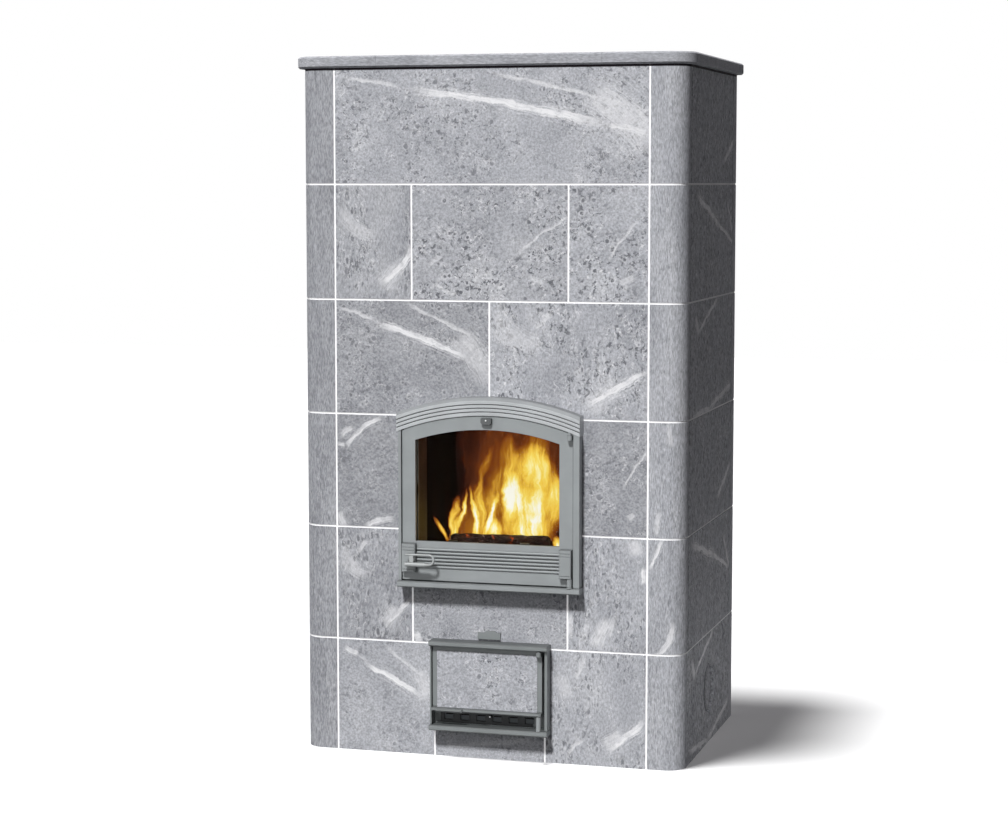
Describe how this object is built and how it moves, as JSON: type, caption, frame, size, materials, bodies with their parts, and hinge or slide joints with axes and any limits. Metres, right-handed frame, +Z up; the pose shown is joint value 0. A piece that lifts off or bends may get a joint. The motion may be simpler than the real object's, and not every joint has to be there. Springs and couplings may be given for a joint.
{
  "type": "soapstone stove",
  "caption": "Tall wood-burning stove faced in grey soapstone courses with white joints, an arched glazed cast fire door, an ash door with a stone inlay and a rear flue outlet",
  "frame": {"origin": "on the floor under the middle of the stone body", "axes": "+Z up, the doors face -Y, +X to the right seen from the front"},
  "size_m": [1.066, 0.7715, 1.83],
  "materials": {
    "soapstone": "honed grey soapstone with pale veins",
    "slab_stone": "honed grey soapstone",
    "inlay_stone": "honed grey soapstone",
    "core_stone": "rough, sooted",
    "mortar": "matt white",
    "door_iron": "satin grey stove paint",
    "handle_steel": "satin",
    "plain_steel": "dull",
    "grate_iron": "burnt",
    "stove_glass": "clear ceramic glass",
    "fibre_rope": "woven glass fibre"
  },
  "bodies": {
    "root": {"course_1_front": "soapstone", "course_2_front_left": "soapstone", "course_2_front_middle": "soapstone", "course_2_front_right": "soapstone", "course_3_front_left": "soapstone", "course_3_front_right": "soapstone", "course_4_front_left": "soapstone", "course_4_front_right": "soapstone", "course_5_front_left": "soapstone", "course_5_front_middle": "soapstone", "course_5_front_right": "soapstone", "course_6_front_left": "soapstone", "course_6_front_middle": "soapstone", "course_6_front_right": "soapstone", "corner_front_left": "soapstone", "corner_front_right": "soapstone", "corner_back_left": "soapstone", "corner_back_right": "soapstone", "side_panels_left": "soapstone", "side_panels_right": "soapstone", "hatch_panel_left": "soapstone", "hatch_panel_right": "soapstone", "back_panels": "soapstone", "flue_panel": "soapstone", "base_slab": "core_stone", "ash_pit_walls": "core_stone", "hearth_floor": "core_stone", "firebox_back_lining": "core_stone", "firebox_left_lining": "core_stone", "firebox_right_lining": "core_stone", "throat_slab": "core_stone", "upper_core": "core_stone", "core_cover": "core_stone", "top_slabs": "slab_stone", "joint_mortar": "mortar", "fire_door_frame": "door_iron", "fire_door_hood": "door_iron", "fire_door_sill": "door_iron", "hinge_pins": "plain_steel", "ash_door_frame": "door_iron", "ash_door_bars": "door_iron", "flue_collar": "plain_steel", "ash_box": "plain_steel", "fire_grate": "grate_iron"},
    "fire_door": {"fire_door_leaf": "door_iron", "window_glass": "stove_glass", "glass_gasket": "fibre_rope", "glass_clips": "plain_steel", "door_rope_seal": "fibre_rope", "hinge_block": "door_iron", "handle_block": "door_iron"},
    "handle": {"fire_handle": "handle_steel", "latch_tongue": "plain_steel"},
    "wash_air": {"wash_air_knob": "door_iron"},
    "ash_door": {"ash_door_leaf": "door_iron", "ash_door_inlay": "inlay_stone"},
    "shutter": {"air_shutter": "door_iron"},
    "damper": {"damper_pull": "door_iron"},
    "plug_left": {"soot_plug_left": "soapstone"},
    "plug_right": {"soot_plug_right": "soapstone"}
  },
  "joints": [
    {"name": "fire_door_hinge", "type": "hinge", "parent": "root", "child": "fire_door", "pos_m": [0.2243, -0.381, 0.66], "axis": [0, 0, 1], "range_deg": [0, 110]},
    {"name": "handle_turn", "type": "hinge", "parent": "fire_door", "child": "handle", "pos_m": [-0.1943, -0.385, 0.5285], "axis": [0, 1, 0], "range_deg": [0, 50]},
    {"name": "wash_air_slide", "type": "slide", "parent": "fire_door", "child": "wash_air", "axis": [1, 0, 0], "range_m": [-0.006, 0.006]},
    {"name": "ash_door_hinge", "type": "hinge", "parent": "root", "child": "ash_door", "pos_m": [0.1428, -0.381, 0.2], "axis": [0, 0, 1], "range_deg": [0, 110]},
    {"name": "shutter_slide", "type": "slide", "parent": "root", "child": "shutter", "axis": [1, 0, 0], "range_m": [-0.017, 0.017]},
    {"name": "damper_slide", "type": "slide", "parent": "root", "child": "damper", "axis": [0, -1, 0], "range_m": [0, 0.06]},
    {"name": "plug_left_slide", "type": "slide", "parent": "root", "child": "plug_left", "axis": [-1, 0, 0], "range_m": [0, 0.09]},
    {"name": "plug_right_slide", "type": "slide", "parent": "root", "child": "plug_right", "axis": [1, 0, 0], "range_m": [0, 0.09]}
  ]
}
